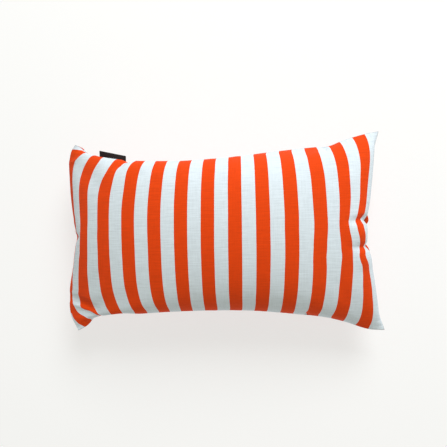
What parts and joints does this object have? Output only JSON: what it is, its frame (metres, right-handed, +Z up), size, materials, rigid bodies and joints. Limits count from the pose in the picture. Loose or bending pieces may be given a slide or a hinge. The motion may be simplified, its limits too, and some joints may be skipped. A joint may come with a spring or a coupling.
{
  "type": "lumbar back cushion",
  "caption": "Filled rectangular lumbar cushion in striped canvas with a knife-edge seam, drawn-in sides, corner ears and a small folded tab.",
  "frame": {"origin": "centre of the footprint, on the surface that the cushion lies on", "axes": "+X along the length, +Y towards the long side that holds the tab, +Z up through the crown of the front panel"},
  "size_m": [0.4719, 0.2875, 0.1372],
  "materials": {
    "striped_canvas": "matt woven canvas in orange and white stripes along the height",
    "tab_leather": "dark brown, low sheen, left bare"
  },
  "bodies": {
    "root": {"cushion": "striped_canvas", "label_tab": "tab_leather"}
  },
  "joints": []
}
